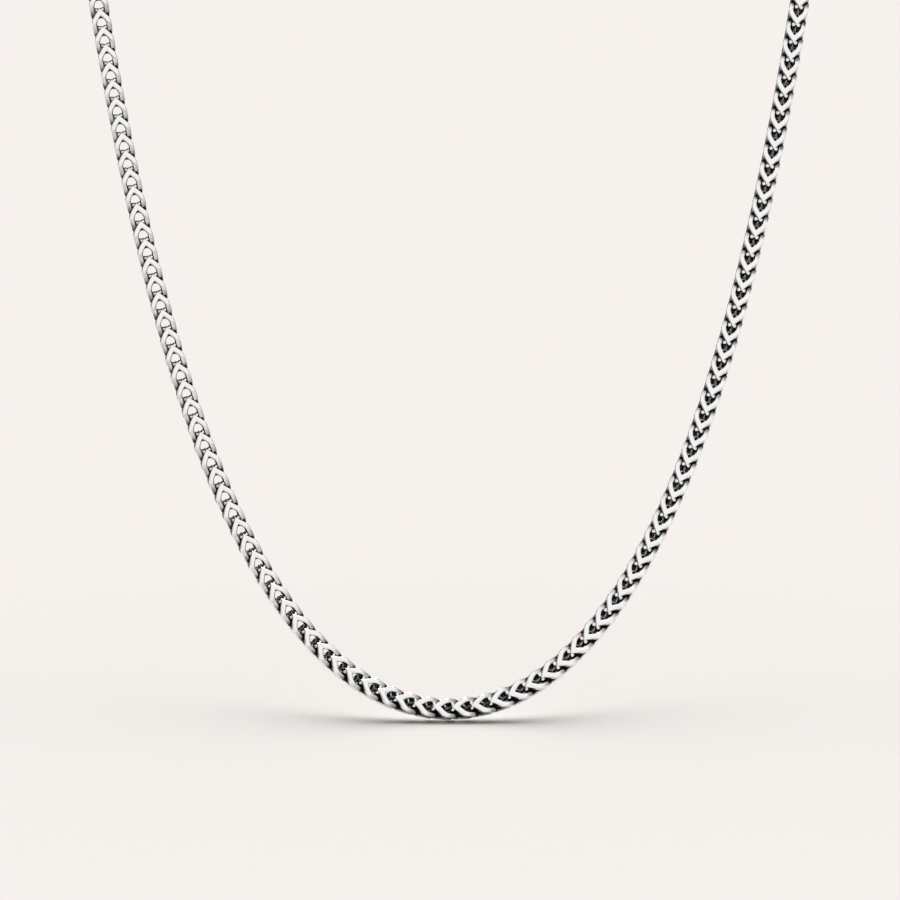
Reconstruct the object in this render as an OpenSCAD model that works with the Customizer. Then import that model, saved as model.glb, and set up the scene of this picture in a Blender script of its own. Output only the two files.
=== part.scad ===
// Square foxtail chain necklace: folded rings, each drawn through both loops of the one before it,
// so that a row of chevrons runs along the face. It hangs in its worn form: a hanging curve at the
// front, strands that rise over the neck, and a plain clasp behind it.
// Millimetres. X is left and right, the front faces -Y, Z is up. The origin is the point at the
// back of the neck where the clasp rests.

/* [Chain] */
// distance from one link to the next, before it is fitted to the loop's length
pitch = 3.1; // [2:0.1:6]
// flat sides of a link's wire
wire_sides = 5; // [5:1:6]

/* [Link] */
// how far a loop's top is from the chain's middle plane
loop_out = 0.354; // [0.3:0.002:0.6]
// reach of a loop's top past its own waist
loop_reach = 4.69; // [3.8:0.005:5]
// wire at a loop's top: width, then thickness
loop_wire_w = 0.68; // [0.4:0.005:1]
loop_wire_t = 0.54; // [0.3:0.01:0.8]
// how far the corner, where an arm turns in, is from the middle plane
corner_out = 1.437; // [0.9:0.001:1.6]
// half the distance between the two corners of a chevron
corner_side = 1.4; // [1:0.01:1.6]
// reach of the corners past the waist
corner_reach = 2.59; // [2.2:0.01:3.6]
// wire at a corner: width of the flat arm, then thickness
corner_wire_w = 0.68; // [0.5:0.01:1.2]
corner_wire_t = 0.73; // [0.3:0.005:0.8]
// how far the waist's ends, which are the chevrons' points, are from the middle plane
waist_out = 1.56; // [1.2:0.005:1.8]
// half the distance between the two pinched wires of a waist
waist_side = 0.212; // [0.2:0.002:0.5]
// wire at the waist: width, then thickness
waist_wire_w = 0.416; // [0.3:0.002:0.8]
waist_wire_t = 0.412; // [0.3:0.002:0.9]
// slant of the links: how far their front runs ahead of their back, for each millimetre between
link_slant = 0.24; // [0:0.01:0.3]

/* [Front curve] */
// roundness of the hanging curve at its lowest point
hang = 23.5; // [15:0.1:40]
// length of the hanging curve on each side of the lowest point
front_run = 152; // [120:1:200]
// lean of the front away from upright, in degrees
lean = 15; // [0:1:40]

/* [Neck curve] */
// height of the clasp above the lowest point
rise = 148; // [130:1:220]
// depth of the clasp behind the lowest point
depth = 84; // [70:1:160]
// how strongly the strands keep their own line before they turn in
strand_pull = 30; // [10:1:80]
// how strongly the chain lies square to the middle behind the neck
nape_pull = 38; // [10:1:80]

/* [Clasp] */
// distance between the two places where the chain's ends are held
clasp_run = 14; // [10:1:24]
// length of the clasp's body
body_l = 9; // [6:0.1:20]
// width and height of the body
body_w = 4.4; // [3:0.1:8]
// bevel along the body's long edges
body_bevel = 0.9; // [0.2:0.1:1.5]
// width and thickness of the tongue that holds the first link
tongue_w = 2.8; // [2:0.1:4]
tongue_t = 1.6; // [1:0.1:1.8]
// length of tongue left past the first link's waist
tongue_end = 1.4; // [1:0.1:2]
// slot in the tongue: across, then along
slot_w = 1.8; // [1:0.1:2]
slot_l = 1.8; // [1:0.1:2]
// radius of the bar that holds the last link
bar_r = 0.3; // [0.25:0.05:0.5]
// cheeks that carry the bar: width, thickness, and the gap between them
cheek_w = 1; // [0.8:0.1:2]
cheek_t = 0.7; // [0.5:0.1:1]
cheek_gap = 3; // [2.4:0.1:3.2]

/* [Hidden] */
front_face = [0, -cos(lean), sin(lean)];

// the hanging curve, from its lowest point up the right side
function hang_rise(s) = sqrt(hang * hang + s * s) - hang;
function hang_side(s) = hang * ln(s / hang + sqrt(1 + s * s / hang / hang));
function front_at(s) = [
    hang_side(s),
    hang_rise(s) * sin(lean),
    hang_rise(s) * cos(lean)
];

// the curve round the neck, from the top of the right strand to the clasp
strand_top = front_at(front_run);
strand_dir = unit(strand_top - front_at(front_run - 0.01));
clasp_end = [clasp_run / 2, depth, rise];
neck_poles = [
    strand_top,
    strand_top + strand_pull * strand_dir,
    clasp_end + [nape_pull, 0, 0],
    clasp_end
];
neck_steps = 60;
neck_points = [for (i = [0:neck_steps]) neck_curve(i / neck_steps)];
neck_lengths = [for (i = [0:neck_steps]) neck_length(i)];
neck_run = neck_lengths[neck_steps];

function neck_curve(u) =
    pow(1 - u, 3) * neck_poles[0]
    + 3 * u * pow(1 - u, 2) * neck_poles[1]
    + 3 * u * u * (1 - u) * neck_poles[2]
    + pow(u, 3) * neck_poles[3];
function neck_length(i) =
    i == 0 ? 0 : neck_length(i - 1) + norm(neck_points[i] - neck_points[i - 1]);
function neck_dir(i) =
    unit(neck_points[min(i + 1, neck_steps)] - neck_points[max(i - 1, 0)]);
function neck_table(values, axis) =
    [for (i = [0:neck_steps]) [neck_lengths[i], values[i][axis]]];
function neck_lookup(values, s) =
    [for (axis = [0:2]) lookup(s, neck_table(values, axis))];

// the face is carried along without twist, then rolled until it is level at the clasp
carried_faces = [for (i = [0:neck_steps]) carried_face(i)];
last_face = carried_faces[neck_steps];
face_roll = atan2(last_face[1], last_face[2]);
neck_faces = [for (i = [0:neck_steps]) rolled_face(i)];

function carried_face(i) =
    i == 0 ? front_face : across(carried_face(i - 1), neck_dir(i));
function rolled_face(i) =
    let (
        roll = -face_roll * neck_lengths[i] / neck_run,
        face = carried_faces[i]
    )
    face * cos(roll) + cross(neck_dir(i), face) * sin(roll);

// the whole line of the chain: s runs from the clasp down the left side, is 0 at the lowest
// point, and runs up the right side to the clasp again
half_run = front_run + neck_run;
links = 2 * round(half_run / pitch);
step = 2 * half_run / links;

function right_at(s) =
    s <= front_run ? front_at(s)
    : s <= half_run ? neck_lookup(neck_points, s - front_run)
    : clasp_end - [s - half_run, 0, 0];
function right_face(s) =
    s <= front_run ? front_face : neck_lookup(neck_faces, min(s, half_run) - front_run);
function line_at(s) = s < 0 ? flip(right_at(-s)) : right_at(s);
function face_at(s) = s < 0 ? flip(right_face(-s)) : right_face(s);

// one link's closed route: a quarter of it, from a loop's top to the waist, and its mirrored rest
// columns: out, side, along, wire width, wire thickness, lean of the flat side towards "along"
OUT = 0;
SIDE = 1;
ALONG = 2;
WIDE = 3;
THICK = 4;
LEAN = 5;
quarter = [
    [loop_out, 0, loop_reach, loop_wire_w, loop_wire_t, 0.192],
    [corner_out, corner_side, corner_reach, corner_wire_w, corner_wire_t, 0.122],
    [waist_out, waist_side, 0, waist_wire_w, waist_wire_t, -0.257]
];
// columns: row of the quarter, sign of "out", sign of "side"
route = [
    [0, 1, 1],
    [1, 1, 1],
    [2, 1, 1],
    [2, -1, 1],
    [1, -1, 1],
    [0, -1, 1],
    [1, -1, -1],
    [2, -1, -1],
    [2, 1, -1],
    [1, 1, -1]
];
rings = len(route);
link_points = [for (i = [0:rings - 1]) each link_ring(i)];
points_per_link = rings * wire_sides;
link_faces = [
    for (i = [0:rings - 1], k = [0:wire_sides - 1])
    let (
        here = i * wire_sides,
        next = (i + 1) % rings * wire_sides,
        turn = (k + 1) % wire_sides
    )
    each [
        [here + k, next + turn, here + turn],
        [here + k, next + k, next + turn]
    ]
];

function route_at(i) =
    let (stop = route[i % rings], row = quarter[stop[0]])
    [stop[1] * row[OUT], stop[2] * row[SIDE], row[ALONG]];
function link_ring(i) =
    let (
        stop = route[i],
        row = quarter[stop[0]],
        middle = route_at(i),
        before = unit(middle - route_at(i + rings - 1)),
        after = unit(route_at(i + 1) - middle),
        way = unit(before + after),
        bend = unit(after - before),
        mitre = 1 / (before * way) - 1,
        flat = across([stop[1], 0, row[LEAN]], way),
        edge = cross(way, flat)
    )
    [
        for (k = [0:wire_sides - 1])
        let (
            turn = 180 / wire_sides * (2 * k + 1),
            spoke = flat * cos(turn) * row[THICK] / 2 + edge * sin(turn) * row[WIDE] / 2
        )
        middle + spoke + bend * (spoke * bend) * mitre
    ];

// a link's points in place, with its waist on the line and its loops round the next waist
function placed_link(k) =
    let (
        s = k * step - half_run,
        middle = line_at(s),
        along = unit(line_at(s + step) - middle),
        out = across(face_at(s + step / 2), along),
        side = cross(along, out)
    )
    [
        for (p = link_points)
        middle - clasp_rest + p[OUT] * out + p[SIDE] * side
            + (p[ALONG] + link_slant * p[OUT]) * along
    ];

// the clasp's face that rests against the back of the neck
clasp_rest = [0, depth - body_w / 2, rise];

function unit(v) = v / norm(v);
function flip(v) = [-v[0], v[1], v[2]];
function across(v, way) = unit(v - (v * way) * way);

// the links numbered from first to last, as one mesh of closed shells
module links_between(first, last) {
    polyhedron(
        points = [for (k = [first:last]) each placed_link(k)],
        faces = [
            for (k = [first:last], f = link_faces)
            [for (i = f) i + (k - first) * points_per_link]
        ]
    );
}

// the links from the clasp down the left side to the lowest point
module chain_left() {
    color([0.82, 0.82, 0.83])
        links_between(0, links / 2 - 1);
}

// the links from the lowest point up the right side to the clasp
module chain_right() {
    color([0.86, 0.86, 0.87])
        links_between(links / 2, links - 1);
}

// a square bar with bevelled long edges, along X
module clasp_body() {
    half = body_w / 2;
    inner = half - body_bevel;
    rotate([90, 0, 90])
        linear_extrude(height = body_l, center = true)
            polygon([
                [-inner, -half],
                [inner, -half],
                [half, -inner],
                [half, inner],
                [inner, half],
                [-inner, half],
                [-half, inner],
                [-half, -inner]
            ]);
}

// a flat tongue with a slot that the first link's waist stands in
module clasp_tongue() {
    tip = clasp_run / 2 + tongue_end;
    start = body_l / 2 - 0.5;
    difference() {
        translate([-tip, -tongue_w / 2, -tongue_t / 2])
            cube([tip - start, tongue_w, tongue_t]);
        translate([-clasp_run / 2 - slot_l / 2, -slot_w / 2, -tongue_t])
            cube([slot_l, slot_w, 2 * tongue_t]);
    }
}

// two cheeks with a bar between them, which passes through both loops of the last link
module clasp_fork() {
    start = body_l / 2 - 0.5;
    tip = clasp_run / 2 + cheek_w / 2;
    for (way = [-1, 1])
        translate([start, -cheek_w / 2, way * (cheek_gap + cheek_t) / 2 - cheek_t / 2])
            cube([tip - start, cheek_w, cheek_t]);
    translate([clasp_run / 2, 0, 0])
        cylinder(h = cheek_gap + cheek_t, r = bar_r, center = true, $fn = 32);
}

// the plain clasp behind the neck
module clasp() {
    color([0.78, 0.78, 0.80])
        translate([0, body_w / 2, 0]) {
            clasp_body();
            clasp_tongue();
            clasp_fork();
        }
}

chain_left();
chain_right();
clasp();
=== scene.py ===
import math

import bmesh
import bpy
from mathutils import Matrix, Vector


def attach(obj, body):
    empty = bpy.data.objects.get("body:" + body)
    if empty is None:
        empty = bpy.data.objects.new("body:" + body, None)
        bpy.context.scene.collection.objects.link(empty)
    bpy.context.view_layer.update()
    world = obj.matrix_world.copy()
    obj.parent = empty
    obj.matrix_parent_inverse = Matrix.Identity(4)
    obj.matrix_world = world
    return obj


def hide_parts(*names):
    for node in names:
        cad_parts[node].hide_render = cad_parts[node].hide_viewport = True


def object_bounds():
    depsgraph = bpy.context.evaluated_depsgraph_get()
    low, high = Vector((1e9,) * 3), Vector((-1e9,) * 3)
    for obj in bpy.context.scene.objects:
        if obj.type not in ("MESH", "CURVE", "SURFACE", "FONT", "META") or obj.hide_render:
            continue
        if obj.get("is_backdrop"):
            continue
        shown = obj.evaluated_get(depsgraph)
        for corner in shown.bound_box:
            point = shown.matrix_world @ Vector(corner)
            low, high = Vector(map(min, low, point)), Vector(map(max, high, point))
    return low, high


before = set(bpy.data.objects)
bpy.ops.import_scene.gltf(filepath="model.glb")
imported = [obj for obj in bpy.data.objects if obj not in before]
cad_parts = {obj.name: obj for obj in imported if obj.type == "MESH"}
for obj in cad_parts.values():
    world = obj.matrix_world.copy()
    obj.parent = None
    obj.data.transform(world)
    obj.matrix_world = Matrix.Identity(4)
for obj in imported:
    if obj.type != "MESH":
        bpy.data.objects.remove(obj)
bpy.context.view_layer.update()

# The chain's line. The necklace is one silver chain, hung by its own weight in front and
# carried up over the sides of the neck to a clasp behind it. Both halves follow this line,
# with s in millimetres from the lowest point, less than zero on the left.
HANG = 23.5
FRONT_RUN = 152.0
LEAN = math.radians(15)
RISE = 148.0
DEPTH = 84.0
STRAND_PULL = 30.0
NAPE_PULL = 38.0
CLASP_RUN = 14.0
CLASP_WIDTH = 4.4
PITCH = 3.1
NECK_STEPS = 60
SHORT_STEP = 0.01

front_face = Vector((0, -math.cos(LEAN), math.sin(LEAN)))


def hanging_point(s):
    """A point of the front curve, which hangs by its own weight in a plane that leans back."""
    side = HANG * math.asinh(s / HANG)
    rise = math.sqrt(HANG * HANG + s * s) - HANG
    return Vector((side, rise * math.sin(LEAN), rise * math.cos(LEAN)))


strand_top = hanging_point(FRONT_RUN)
strand_way = (strand_top - hanging_point(FRONT_RUN - SHORT_STEP)).normalized()
clasp_end = Vector((CLASP_RUN / 2, DEPTH, RISE))
neck_poles = [
    strand_top,
    strand_top + STRAND_PULL * strand_way,
    clasp_end + Vector((NAPE_PULL, 0, 0)),
    clasp_end,
]


def neck_point(u):
    """A point of the curve round the neck, from the top of the front at 0 to the clasp at 1."""
    v = 1 - u
    weights = (v**3, 3 * u * v * v, 3 * u * u * v, u**3)
    return sum((w * pole for w, pole in zip(weights, neck_poles)), Vector())


neck_points = [neck_point(i / NECK_STEPS) for i in range(NECK_STEPS + 1)]
neck_lengths = [0.0]
for i in range(NECK_STEPS):
    neck_lengths.append(neck_lengths[-1] + (neck_points[i + 1] - neck_points[i]).length)
neck_run = neck_lengths[-1]
half_run = FRONT_RUN + neck_run
links = 2 * round(half_run / PITCH)
step = 2 * half_run / links

# the face is carried round the neck without twist, then rolled level with the clasp
neck_ways = [
    (neck_points[min(i + 1, NECK_STEPS)] - neck_points[max(i - 1, 0)]).normalized()
    for i in range(NECK_STEPS + 1)
]
neck_faces = [front_face]
for way in neck_ways[1:]:
    carried = neck_faces[-1]
    neck_faces.append((carried - carried.dot(way) * way).normalized())
face_roll = math.atan2(neck_faces[-1].y, neck_faces[-1].z)
for i, way in enumerate(neck_ways):
    roll = -face_roll * neck_lengths[i] / neck_run
    face = neck_faces[i]
    neck_faces[i] = face * math.cos(roll) + way.cross(face) * math.sin(roll)


def between(rows, length):
    """The row at a length round the neck, from a list with one row for each of the neck's points."""
    i = 0
    while i < NECK_STEPS - 1 and neck_lengths[i + 1] < length:
        i += 1
    share = (length - neck_lengths[i]) / (neck_lengths[i + 1] - neck_lengths[i])
    return rows[i].lerp(rows[i + 1], share)


def line_at(s):
    """The middle of the chain at s."""
    reach = abs(s)
    if reach <= FRONT_RUN:
        point = hanging_point(reach)
    elif reach <= half_run:
        point = between(neck_points, reach - FRONT_RUN)
    else:
        point = clasp_end - Vector((reach - half_run, 0, 0))
    return Vector((math.copysign(1, s) * point.x, point.y, point.z))


def face_at(s):
    """The way in which the front of the chain faces at s."""
    reach = min(abs(s), half_run)
    face = front_face if reach <= FRONT_RUN else between(neck_faces, reach - FRONT_RUN)
    return Vector((math.copysign(1, s) * face.x, face.y, face.z))


# One link. The real one is a ring of silver wire, pinched at its waist and folded double, so that
# two pointed loops lie face to face, joined at their points by the waist. The points are soldered,
# the outer faces are filed flat and polished, and the gaps are painted dark, with the oxide that
# silver keeps in its hollows and with painted shade.
MM = 0.001
FACE_OUT = 1.75
SIDE_OUT = 1.61
FACE_FALL = 0.05
FACET_ANGLE = math.radians(38)

# half of a loop's route, from its point to its top, in millimetres:
# out from the middle plane, sideways, along the chain, wire width, wire depth
half_loop = [
    (1.40, 0.00, 0.06, 0.86, 0.72),
    (1.40, 0.48, 0.66, 0.88, 0.72),
    (1.40, 1.00, 1.31, 0.90, 0.72),
    (1.26, 1.22, 1.92, 0.89, 0.72),
    (1.02, 1.20, 2.55, 0.88, 0.74),
    (0.78, 1.18, 3.25, 0.90, 0.74),
    (0.56, 1.16, 3.80, 0.88, 0.70),
    (0.42, 0.92, 4.20, 0.70, 0.66),
    (0.42, 0.48, 4.06, 0.66, 0.66),
    (0.42, 0.00, 3.92, 0.62, 0.64),
]
# the wire's section, as shares of half its width and half its depth, filed side first; widths
# below zero are on the inside of the loop, where the edge is broader
wire_section = [
    (-0.60, 1.00),
    (0.76, 1.00),
    (1.00, 0.66),
    (0.94, -0.30),
    (0.45, -1.00),
    (-0.45, -1.00),
    (-0.94, -0.30),
    (-1.00, 0.55),
]


def ring_faces(rings, sides):
    """The faces of a closed row of rings, each with the same number of points."""
    faces = []
    for i in range(rings):
        here = i * sides
        ahead = (i + 1) % rings * sides
        for k in range(sides):
            after = (k + 1) % sides
            faces.append((here + k, here + after, ahead + after, ahead + k))
    return faces


def loop_shell(face):
    """The loop on one face of the chain, 1 for the front and -1 for the back, as a closed shell."""
    other_half = [(out, -side, *rest) for out, side, *rest in reversed(half_loop[1:-1])]
    rows = [(face * out, *rest) for out, *rest in half_loop + other_half]
    spots = [Vector(row[:3]) for row in rows]
    points = []
    for i, (*_, wire_width, wire_depth) in enumerate(rows):
        before = (spots[i] - spots[i - 1]).normalized()
        after = (spots[(i + 1) % len(rows)] - spots[i]).normalized()
        way = (before + after).normalized()
        mitre = 1 / before.dot(way)
        bend = (after - before).normalized()
        out = Vector((face, 0, 0))
        out = (out - out.dot(way) * way).normalized()
        edge = way.cross(out) * face
        for across, up in wire_section:
            spoke = edge * across * wire_width / 2 + out * up * wire_depth / 2
            spoke += bend * spoke.dot(bend) * (mitre - 1)
            points.append(spots[i] + spoke)
    return points, ring_faces(len(rows), len(wire_section))


# the waist, from front to back: out, half its width, its middle along and half its depth in
# millimetres, then how dark it is painted, as oxide and painted shade, with more painted shade at
# the back, deep in the chain
waist_rows = [
    (1.50, 0.46, -0.18, 0.26, 0.18),
    (1.36, 0.72, -0.20, 0.40, 0.20),
    (0.95, 0.86, -0.24, 0.46, 0.22),
    (0.40, 0.86, -0.26, 0.46, 0.24),
    (0.00, 0.84, -0.24, 0.44, 0.30),
    (-0.35, 0.74, -0.16, 0.40, 0.60),
    (-1.05, 0.72, -0.12, 0.42, 0.90),
    (-1.32, 0.62, -0.12, 0.38, 0.90),
    (-1.42, 0.40, -0.12, 0.24, 0.90),
]
# its section, as shares of half its width and depth, then the painted shade to add: two soldered
# wires side by side, with painted shade in the notch between them and on the side that faces
# into the link
waist_section = [
    (0.00, -0.50, 0.14),
    (0.46, -0.92, -0.04),
    (0.84, -1.00, -0.12),
    (1.00, -0.30, 0.10),
    (0.88, 0.76, 0.50),
    (0.50, 1.00, 0.50),
    (-0.50, 1.00, 0.50),
    (-0.88, 0.76, 0.50),
    (-1.00, -0.30, 0.10),
    (-0.84, -1.00, -0.12),
    (-0.46, -0.92, -0.04),
]


def waist_shell():
    """The pinched middle of the ring, as a closed shell, and the painted oxide and shade at its
    points.
    """
    points = []
    dark = []
    for out, half_width, middle, half_depth, row_dark in waist_rows:
        for side, along, added_dark in waist_section:
            points.append(Vector((out, side * half_width, middle + along * half_depth)))
            # painted oxide and shade for each point of the waist
            dark.append(row_dark + added_dark)
    sides = len(waist_section)
    faces = ring_faces(len(waist_rows), sides)[:-sides]
    faces.append(tuple(range(sides)))
    faces.append(tuple(range(len(points) - sides, len(points))))
    return points, faces, dark


# where a loop is painted dark: shares for each millimetre under the nearest filed face, as oxide and
# painted shade, then as painted shade for a wall that turns away from it, for the inside of the
# loop, and for each millimetre that wire which faces forward lies under the front
OXIDE_AND_SHADE_BY_DEPTH = 0.36
PAINTED_SHADE_BY_WALL = 0.62
PAINTED_SHADE_INSIDE = 0.45
PAINTED_SHADE_ON_LOW_FRONTS = 0.17
LOOP_MIDDLE = 2.1
# the outer end of each point is left mostly clear of the painted oxide and shade, so it shows bright
POINT_DARK_LIFT = 0.75
POINT_WIDTH = 0.8
POINT_REACH = 0.2


def oxide_and_shade_share(spot, normal):
    """How much painted oxide and shade a spot of a loop gets, from none at 0 to all of it near 1."""
    front = math.copysign(1, spot.x)
    from_front = FACE_OUT - abs(spot.x)
    from_side = SIDE_OUT - abs(spot.y)
    facing = normal.x * front
    if from_front >= from_side:
        facing = normal.y * math.copysign(1, spot.y)
    inward = Vector((0, -spot.y, LOOP_MIDDLE - spot.z)).normalized()
    # oxide in the hollows and painted shade, more the deeper a spot lies under the filed faces
    share = OXIDE_AND_SHADE_BY_DEPTH * min(from_front, from_side)
    # painted shade on walls that turn away, on forward-facing wire low under the front, and inside
    # the loop
    share += PAINTED_SHADE_BY_WALL * (1 - max(0.0, facing))
    share += PAINTED_SHADE_ON_LOW_FRONTS * from_front * max(0.0, normal.x * front)
    share += PAINTED_SHADE_INSIDE * max(0.0, normal.dot(inward))
    # less painted oxide and shade on the outer end of each point, so that it shows bright
    if normal.z < 0 and spot.z < POINT_REACH:
        share *= 1 - POINT_DARK_LIFT * max(0.0, 1 - abs(spot.y) / POINT_WIDTH)
    return share


def link_mesh():
    """The whole link, with its painted oxide and shade and the reach from its middle plane kept at
    each point.
    """
    points, faces, waist_dark = waist_shell()
    for shell_points, shell_faces in (loop_shell(1), loop_shell(-1)):
        first = len(points)
        points += shell_points
        faces += [tuple(first + i for i in face) for face in shell_faces]
    for spot in points:
        limit = FACE_OUT - FACE_FALL * max(0.0, spot.z)
        spot.x = max(-limit, min(limit, spot.x))
        spot.y = max(-SIDE_OUT, min(SIDE_OUT, spot.y))
    work = bmesh.new()
    for spot in points:
        work.verts.new(spot)
    work.verts.ensure_lookup_table()
    for face in faces:
        work.faces.new([work.verts[i] for i in face])
    bmesh.ops.recalc_face_normals(work, faces=work.faces)
    work.verts.index_update()
    work.normal_update()
    loop_verts = work.verts[len(waist_dark):]
    dark = waist_dark + [oxide_and_shade_share(vert.co, vert.normal) for vert in loop_verts]
    reach = [vert.co.x * MM for vert in work.verts]
    bmesh.ops.scale(work, vec=(MM, MM, MM), verts=work.verts)
    mesh = bpy.data.meshes.new("link_pattern")
    work.to_mesh(mesh)
    work.free()
    # each point keeps its share of painted oxide and shade
    mesh.attributes.new("oxide and painted shade", "FLOAT", "POINT").data.foreach_set("value", dark)
    mesh.attributes.new("reach", "FLOAT", "POINT").data.foreach_set("value", reach)
    mesh.polygons.foreach_set("use_smooth", [True] * len(mesh.polygons))
    mesh.set_sharp_from_angle(angle=FACET_ANGLE)
    return mesh


link_pattern = bpy.data.objects.new("link_pattern", link_mesh())

# the link's silver, bright where it is filed and rubbed, and nearly black in the gaps, where dark
# oxide and painted shade are mixed into its colour
BRIGHT_SILVER = (0.955, 0.952, 0.945, 1)
# the colour of the oxide and of the painted shade in the gaps
OXIDE_AND_SHADE_SILVER = (0.018, 0.018, 0.020, 1)
CHAIN_OXIDE_AND_SHADE = {"Starts At": 0.22, "Full At": 0.66, "Patchiness": 0.3}
CHAIN_RUBBING = {"Gloss Low": 0.10, "Gloss High": 0.24}
DULL_WHERE_DARK = 0.6
PATCHES_PER_METRE = 900
PATCH_DETAIL = 3
MIDDLE_OF_NOISE = 0.5
MARK_DETAIL = 4
MARK_HEIGHT = 0.02 * MM


def add_inputs(group, values):
    """Named numbers that a node group takes in, each with its usual value."""
    for name, value in values.items():
        socket = group.interface.new_socket(name, in_out="INPUT", socket_type="NodeSocketFloat")
        socket.default_value = value


def oxide_and_shade_group():
    """How dark the oxide and painted shade are: none on the filed faces, full at the bottom of the
    gaps.
    """
    group = bpy.data.node_groups.new("oxide and painted shade in gaps", "ShaderNodeTree")
    add_inputs(group, {"Starts At": 0.2, "Full At": 0.9, "Patchiness": 0.2})
    group.interface.new_socket("Amount", in_out="OUTPUT", socket_type="NodeSocketFloat")
    nodes, wires = group.nodes, group.links
    given = nodes.new("NodeGroupInput")
    result = nodes.new("NodeGroupOutput")
    left_on = nodes.new("ShaderNodeAttribute")
    left_on.attribute_name = "oxide and painted shade"
    place = nodes.new("ShaderNodeTexCoord")
    cloud = nodes.new("ShaderNodeTexNoise")
    cloud.inputs["Scale"].default_value = PATCHES_PER_METRE
    cloud.inputs["Detail"].default_value = PATCH_DETAIL
    centred = nodes.new("ShaderNodeMath")
    centred.operation = "SUBTRACT"
    centred.inputs[1].default_value = MIDDLE_OF_NOISE
    uneven = nodes.new("ShaderNodeMath")
    uneven.operation = "MULTIPLY_ADD"
    ramp = nodes.new("ShaderNodeMapRange")
    ramp.interpolation_type = "SMOOTHSTEP"
    wires.new(place.outputs["Object"], cloud.inputs["Vector"])
    wires.new(cloud.outputs["Fac"], centred.inputs[0])
    wires.new(centred.outputs[0], uneven.inputs[0])
    wires.new(given.outputs["Patchiness"], uneven.inputs[1])
    wires.new(left_on.outputs["Fac"], uneven.inputs[2])
    wires.new(uneven.outputs[0], ramp.inputs["Value"])
    wires.new(given.outputs["Starts At"], ramp.inputs["From Min"])
    wires.new(given.outputs["Full At"], ramp.inputs["From Max"])
    wires.new(ramp.outputs["Result"], result.inputs["Amount"])
    return group


def rubbing_group():
    """Fine rubbing marks of polishing, as a normal and as a change of gloss."""
    group = bpy.data.node_groups.new("rubbing marks", "ShaderNodeTree")
    add_inputs(group, {"Mark Size": 1500.0, "Depth": 0.1, "Gloss Low": 0.1, "Gloss High": 0.2})
    group.interface.new_socket("Roughness", in_out="OUTPUT", socket_type="NodeSocketFloat")
    group.interface.new_socket("Normal", in_out="OUTPUT", socket_type="NodeSocketVector")
    nodes, wires = group.nodes, group.links
    given = nodes.new("NodeGroupInput")
    result = nodes.new("NodeGroupOutput")
    place = nodes.new("ShaderNodeTexCoord")
    marks = nodes.new("ShaderNodeTexNoise")
    marks.inputs["Detail"].default_value = MARK_DETAIL
    gloss = nodes.new("ShaderNodeMapRange")
    bump = nodes.new("ShaderNodeBump")
    bump.inputs["Distance"].default_value = MARK_HEIGHT
    wires.new(place.outputs["Object"], marks.inputs["Vector"])
    wires.new(given.outputs["Mark Size"], marks.inputs["Scale"])
    wires.new(marks.outputs["Fac"], gloss.inputs["Value"])
    wires.new(given.outputs["Gloss Low"], gloss.inputs["To Min"])
    wires.new(given.outputs["Gloss High"], gloss.inputs["To Max"])
    wires.new(marks.outputs["Fac"], bump.inputs["Height"])
    wires.new(given.outputs["Depth"], bump.inputs["Strength"])
    wires.new(gloss.outputs["Result"], result.inputs["Roughness"])
    wires.new(bump.outputs["Normal"], result.inputs["Normal"])
    return group


oxide_and_shade = oxide_and_shade_group()
rubbing = rubbing_group()


def placed(nodes, group, values):
    """A shared effect, placed in a material with that material's own values."""
    effect = nodes.new("ShaderNodeGroup")
    effect.node_tree = group
    for name, value in values.items():
        effect.inputs[name].default_value = value
    return effect


def chain_silver():
    material = bpy.data.materials.new("chain silver")
    material.use_nodes = True
    nodes, wires = material.node_tree.nodes, material.node_tree.links
    shader = nodes["Principled BSDF"]
    shader.inputs["Metallic"].default_value = 1.0
    # the dark colour of oxide and painted shade, mixed into the silver
    dark = placed(nodes, oxide_and_shade, CHAIN_OXIDE_AND_SHADE)
    marks = placed(nodes, rubbing, CHAIN_RUBBING)
    tone = nodes.new("ShaderNodeMix")
    tone.data_type = "RGBA"
    tone.inputs["A"].default_value = BRIGHT_SILVER
    tone.inputs["B"].default_value = OXIDE_AND_SHADE_SILVER
    wires.new(dark.outputs["Amount"], tone.inputs["Factor"])
    wires.new(tone.outputs["Result"], shader.inputs["Base Color"])
    dull = nodes.new("ShaderNodeMath")
    dull.operation = "MULTIPLY_ADD"
    dull.inputs[1].default_value = DULL_WHERE_DARK
    wires.new(dark.outputs["Amount"], dull.inputs[0])
    wires.new(marks.outputs["Roughness"], dull.inputs[2])
    wires.new(dull.outputs[0], shader.inputs["Roughness"])
    wires.new(marks.outputs["Normal"], shader.inputs["Normal"])
    return material


silver = chain_silver()


# The two halves of the chain. The links are one closed ring each, threaded through the two loops of
# the one before and soldered shut, so the whole row is free to bend. They are set along the line.
LEFT_SLANT = 0.30
RIGHT_SLANT = 0.54
LOWEST_SLANT = 0.26
LOWEST_STRETCH = 35.0
CLASP_STRETCH = 30.0


def slant_at(s):
    """How far a link's front runs ahead of its back, most at the bottom and none at the clasp."""
    settled = min(1.0, (half_run - abs(s)) / CLASP_STRETCH)
    right_share = 0.5 + 0.5 * math.tanh(s / LOWEST_STRETCH)
    strand = LEFT_SLANT + (RIGHT_SLANT - LEFT_SLANT) * right_share
    return settled * (strand + LOWEST_SLANT * math.exp(-((s / LOWEST_STRETCH) ** 2)))


def named_value(nodes, name, kind):
    """A value that the line or the link carries at each of its points."""
    value = nodes.new("GeometryNodeInputNamedAttribute")
    value.data_type = kind
    value.inputs["Name"].default_value = name
    return value.outputs["Attribute"]


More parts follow.
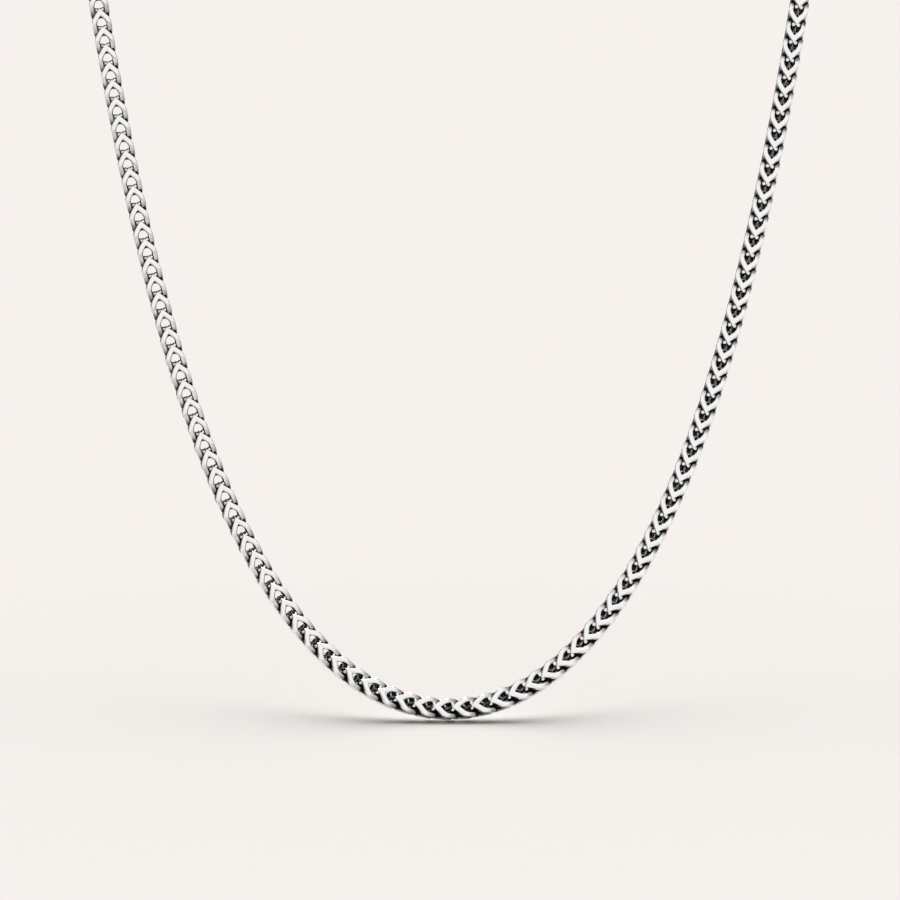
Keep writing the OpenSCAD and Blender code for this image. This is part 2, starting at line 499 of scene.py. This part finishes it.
def linking_tree():
    """A link at each point of a line, turned along the chain and out, then slanted by its reach."""
    tree = bpy.data.node_groups.new("links along the line", "GeometryNodeTree")
    sockets = tree.interface
    sockets.new_socket("Geometry", in_out="INPUT", socket_type="NodeSocketGeometry")
    sockets.new_socket("Link", in_out="INPUT", socket_type="NodeSocketObject")
    add_inputs(tree, {"Link Size": 1.0})
    sockets.new_socket("Finish", in_out="INPUT", socket_type="NodeSocketMaterial")
    sockets.new_socket("Geometry", in_out="OUTPUT", socket_type="NodeSocketGeometry")
    nodes, wires = tree.nodes, tree.links
    given = nodes.new("NodeGroupInput")
    result = nodes.new("NodeGroupOutput")
    spots = nodes.new("GeometryNodeMeshToPoints")
    along = named_value(nodes, "along", "FLOAT_VECTOR")
    out = named_value(nodes, "out", "FLOAT_VECTOR")
    turn = nodes.new("FunctionNodeAxesToRotation")
    turn.primary_axis = "Z"
    turn.secondary_axis = "X"
    pattern = nodes.new("GeometryNodeObjectInfo")
    place = nodes.new("GeometryNodeInstanceOnPoints")
    real = nodes.new("GeometryNodeRealizeInstances")
    wires.new(given.outputs["Geometry"], spots.inputs["Mesh"])
    wires.new(given.outputs["Link"], pattern.inputs["Object"])
    wires.new(along, turn.inputs["Primary Axis"])
    wires.new(out, turn.inputs["Secondary Axis"])
    wires.new(spots.outputs["Points"], place.inputs["Points"])
    wires.new(pattern.outputs["Geometry"], place.inputs["Instance"])
    wires.new(turn.outputs["Rotation"], place.inputs["Rotation"])
    wires.new(given.outputs["Link Size"], place.inputs["Scale"])
    wires.new(place.outputs["Instances"], real.inputs["Geometry"])
    slant = named_value(nodes, "slant", "FLOAT")
    reach = named_value(nodes, "reach", "FLOAT")
    amount = nodes.new("ShaderNodeMath")
    amount.operation = "MULTIPLY"
    shift = nodes.new("ShaderNodeVectorMath")
    shift.operation = "SCALE"
    slanted = nodes.new("GeometryNodeSetPosition")
    wires.new(slant, amount.inputs[0])
    wires.new(reach, amount.inputs[1])
    wires.new(along, shift.inputs[0])
    wires.new(amount.outputs[0], shift.inputs["Scale"])
    wires.new(real.outputs["Geometry"], slanted.inputs["Geometry"])
    wires.new(shift.outputs["Vector"], slanted.inputs["Offset"])
    finish = nodes.new("GeometryNodeSetMaterial")
    wires.new(slanted.outputs["Geometry"], finish.inputs["Geometry"])
    wires.new(given.outputs["Finish"], finish.inputs["Material"])
    wires.new(finish.outputs["Geometry"], result.inputs["Geometry"])
    return tree


linking = linking_tree()
rest_point = Vector((0, DEPTH - CLASP_WIDTH / 2, RISE))


def chain_half(name, first, last):
    """One half of the chain as one mesh, from its first link to its last."""
    spots, alongs, outs, slants = [], [], [], []
    for k in range(first, last + 1):
        s = k * step - half_run
        along = (line_at(s + step / 2) - line_at(s - step / 2)).normalized()
        out = face_at(s)
        out = (out - out.dot(along) * along).normalized()
        spots.append((line_at(s) - rest_point) * MM)
        alongs.extend(along)
        outs.extend(out)
        slants.append(slant_at(s))
    guide = bpy.data.meshes.new(name + "_line")
    guide.from_pydata(spots, [(i, i + 1) for i in range(len(spots) - 1)], [])
    guide.attributes.new("along", "FLOAT_VECTOR", "POINT").data.foreach_set("vector", alongs)
    guide.attributes.new("out", "FLOAT_VECTOR", "POINT").data.foreach_set("vector", outs)
    guide.attributes.new("slant", "FLOAT", "POINT").data.foreach_set("value", slants)
    strand = bpy.data.objects.new(name + "_line", guide)
    bpy.context.scene.collection.objects.link(strand)
    linked = strand.modifiers.new("links", "NODES")
    linked.node_group = linking
    wanted = {"Link": link_pattern, "Link Size": 1.0, "Finish": silver}
    for socket in linking.interface.items_tree:
        if socket.item_type == "SOCKET" and socket.in_out == "INPUT" and socket.name in wanted:
            linked[socket.identifier] = wanted[socket.name]
    made = strand.evaluated_get(bpy.context.evaluated_depsgraph_get())
    mesh = bpy.data.meshes.new_from_object(made)
    mesh.name = name
    strand.modifiers.clear()
    bpy.data.objects.remove(strand)
    piece = bpy.data.objects.new(name + "_links", mesh)
    bpy.context.scene.collection.objects.link(piece)
    return piece


left = chain_half("chain_left", 0, links // 2 - 1)
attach(left, "root")
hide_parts("chain_left")

right = chain_half("chain_right", links // 2, links - 1)
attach(right, "root")
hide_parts("chain_right")
bpy.data.objects.remove(link_pattern)

# The clasp. A plain bar of the same silver with its long edges bevelled, a slotted tongue for the
# first link and a fork with a cross bar for the last. It is brushed along its length, and its edges
# are eased by hand.
EDGE_EASE = 0.12 * MM
EASE_STEPS = 3
EDGE_ANGLE = math.radians(30)
SAME_SPOT = 0.001 * MM
FLAT_ANGLE = math.radians(2)
BRUSHED_SILVER = (0.84, 0.838, 0.83, 1)
WORN_SILVER = (0.60, 0.598, 0.59, 1)
GRAIN_PER_METRE = (150, 5000, 5000)
GRAIN_DETAIL = 2
CLASP_RUBBING = {"Depth": 0.04, "Gloss Low": 0.20, "Gloss High": 0.36}


def clasp_silver():
    material = bpy.data.materials.new("clasp silver")
    material.use_nodes = True
    nodes, wires = material.node_tree.nodes, material.node_tree.links
    shader = nodes["Principled BSDF"]
    shader.inputs["Metallic"].default_value = 1.0
    place = nodes.new("ShaderNodeTexCoord")
    drawn = nodes.new("ShaderNodeMapping")
    drawn.inputs["Scale"].default_value = GRAIN_PER_METRE
    grain = nodes.new("ShaderNodeTexNoise")
    grain.inputs["Scale"].default_value = 1.0
    grain.inputs["Detail"].default_value = GRAIN_DETAIL
    tone = nodes.new("ShaderNodeMix")
    tone.data_type = "RGBA"
    tone.inputs["A"].default_value = BRUSHED_SILVER
    tone.inputs["B"].default_value = WORN_SILVER
    wires.new(place.outputs["Object"], drawn.inputs["Vector"])
    wires.new(drawn.outputs["Vector"], grain.inputs["Vector"])
    wires.new(grain.outputs["Fac"], tone.inputs["Factor"])
    wires.new(tone.outputs["Result"], shader.inputs["Base Color"])
    marks = placed(nodes, rubbing, CLASP_RUBBING)
    wires.new(marks.outputs["Roughness"], shader.inputs["Roughness"])
    wires.new(marks.outputs["Normal"], shader.inputs["Normal"])
    return material


def eased_clasp():
    """The frame's clasp with its edges eased, as a mesh of its own."""
    work = bmesh.new()
    work.from_mesh(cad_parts["clasp"].data)
    bmesh.ops.remove_doubles(work, verts=work.verts, dist=SAME_SPOT)
    bmesh.ops.dissolve_limit(work, angle_limit=FLAT_ANGLE, verts=work.verts, edges=work.edges)
    mesh = bpy.data.meshes.new("clasp_bar")
    work.to_mesh(mesh)
    work.free()
    piece = bpy.data.objects.new("clasp_bar", mesh)
    bpy.context.scene.collection.objects.link(piece)
    ease = piece.modifiers.new("eased edges", "BEVEL")
    ease.width = EDGE_EASE
    ease.segments = EASE_STEPS
    ease.limit_method = "ANGLE"
    ease.angle_limit = EDGE_ANGLE
    made = piece.evaluated_get(bpy.context.evaluated_depsgraph_get())
    piece.data = bpy.data.meshes.new_from_object(made)
    piece.modifiers.clear()
    piece.data.polygons.foreach_set("use_smooth", [True] * len(piece.data.polygons))
    piece.data.set_sharp_from_angle(angle=EDGE_ANGLE)
    piece.data.materials.clear()
    piece.data.materials.append(clasp_silver())
    return piece


clasp = eased_clasp()
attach(clasp, "root")
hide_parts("clasp")

# The floor. A plain pale sheet lies just under the lowest link and rises gently behind it, so that
# the shadow is a narrow band under the chain. It is not part of the necklace.
SHEET_WHITE = (0.82, 0.782, 0.753, 1)
FLOOR_GAP = 0.27 * MM
FLOOR_SIZE = 4.0
FLOOR_RISE = math.tan(math.radians(7))


def pale_floor():
    half = FLOOR_SIZE / 2
    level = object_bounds()[0].z - FLOOR_GAP
    lowest = (hanging_point(0) - rest_point) * MM
    near = level - (half + lowest.y) * FLOOR_RISE
    far = level + (half - lowest.y) * FLOOR_RISE
    corners = [(-half, -half, near), (half, -half, near), (half, half, far), (-half, half, far)]
    mesh = bpy.data.meshes.new("floor")
    mesh.from_pydata(corners, [], [(0, 1, 2, 3)])
    floor = bpy.data.objects.new("floor", mesh)
    bpy.context.scene.collection.objects.link(floor)
    material = bpy.data.materials.new("pale floor")
    material.use_nodes = True
    shader = material.node_tree.nodes["Principled BSDF"]
    shader.inputs["Base Color"].default_value = SHEET_WHITE
    shader.inputs["Roughness"].default_value = 1.0
    shader.inputs["Specular IOR Level"].default_value = 0.0
    mesh.materials.append(material)
    return floor


pale_floor()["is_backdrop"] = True

# The light. The room is plain and pale to look at. The silver mirrors a broad front light, a strong
# one above and dim sides, and the floor is lit softly from above. A spread is where a patch of
# light starts and where it is full, as the cosine of the angle from its middle.
ROOM_COLOUR = (0.922, 0.880, 0.847, 1)
ROOM_LIGHT = 0.12
FRONT_WAY = (0.1, -0.75, 0.66)
FRONT_SPREAD = (0.35, 0.90)
FRONT_LIGHT = 1.05
TOP_WAY = (0, math.sin(LEAN), math.cos(LEAN))
TOP_SPREAD = (0.93, 0.985)
TOP_LIGHT = 11.0
SOFT_SPREAD = (0.62, 0.96)
SOFT_LIGHT = 4.10


def light_patch(nodes, wires, looking, middle, spread, full_light, around=0.0):
    """A soft patch of light in the room, round one direction, and how light the rest of it is."""
    nearness = nodes.new("ShaderNodeVectorMath")
    nearness.operation = "DOT_PRODUCT"
    nearness.inputs[1].default_value = Vector(middle).normalized()
    patch = nodes.new("ShaderNodeMapRange")
    patch.interpolation_type = "SMOOTHSTEP"
    patch.inputs["From Min"].default_value = spread[0]
    patch.inputs["From Max"].default_value = spread[1]
    patch.inputs["To Min"].default_value = around
    patch.inputs["To Max"].default_value = full_light
    wires.new(looking, nearness.inputs[0])
    wires.new(nearness.outputs["Value"], patch.inputs["Value"])
    return patch.outputs["Result"]


def studio_light():
    world = bpy.data.worlds.new("studio")
    bpy.context.scene.world = world
    world.use_nodes = True
    nodes, wires = world.node_tree.nodes, world.node_tree.links
    nodes.clear()
    result = nodes.new("ShaderNodeOutputWorld")
    looking = nodes.new("ShaderNodeTexCoord").outputs["Generated"]
    front = light_patch(nodes, wires, looking, FRONT_WAY, FRONT_SPREAD, FRONT_LIGHT)
    above = light_patch(nodes, wires, looking, TOP_WAY, TOP_SPREAD, TOP_LIGHT, ROOM_LIGHT)
    soft = light_patch(nodes, wires, looking, TOP_WAY, SOFT_SPREAD, SOFT_LIGHT)
    mirrored = nodes.new("ShaderNodeMath")
    mirrored.operation = "ADD"
    strength = nodes.new("ShaderNodeMix")
    strength.data_type = "FLOAT"
    ray = nodes.new("ShaderNodeLightPath")
    lamp_room = nodes.new("ShaderNodeBackground")
    plain_room = nodes.new("ShaderNodeBackground")
    plain_room.inputs["Color"].default_value = ROOM_COLOUR
    chosen_room = nodes.new("ShaderNodeMixShader")
    wires.new(front, mirrored.inputs[0])
    wires.new(above, mirrored.inputs[1])
    wires.new(ray.outputs["Is Glossy Ray"], strength.inputs["Factor"])
    wires.new(soft, strength.inputs["A"])
    wires.new(mirrored.outputs[0], strength.inputs["B"])
    wires.new(strength.outputs["Result"], lamp_room.inputs["Strength"])
    wires.new(ray.outputs["Is Camera Ray"], chosen_room.inputs["Fac"])
    wires.new(lamp_room.outputs[0], chosen_room.inputs[1])
    wires.new(plain_room.outputs[0], chosen_room.inputs[2])
    wires.new(chosen_room.outputs[0], result.inputs["Surface"])
    bpy.context.scene.view_settings.view_transform = "Standard"


studio_light()

# The camera. It stands a little over a metre in front of the chain, a little above its middle, and
# looks very slightly down.
CAMERA_AWAY = 1100.0
CAMERA_UP = 90.24
CAMERA_SIDE = 0.17
CAMERA_TILT = math.radians(2.5)
FOCAL_LENGTH = 270.1
SENSOR_WIDTH = 36
NEAREST_SEEN = 0.01
FARTHEST_SEEN = 20

lens = bpy.data.cameras.new("camera")
lens.sensor_width = SENSOR_WIDTH
lens.lens = FOCAL_LENGTH
lens.clip_start = NEAREST_SEEN
lens.clip_end = FARTHEST_SEEN
camera = bpy.data.objects.new("camera", lens)
bpy.context.scene.collection.objects.link(camera)
camera.location = (Vector((CAMERA_SIDE, -CAMERA_AWAY, CAMERA_UP)) - rest_point) * MM
camera.rotation_euler = (math.pi / 2 - CAMERA_TILT, 0, 0)
bpy.context.scene.camera = camera
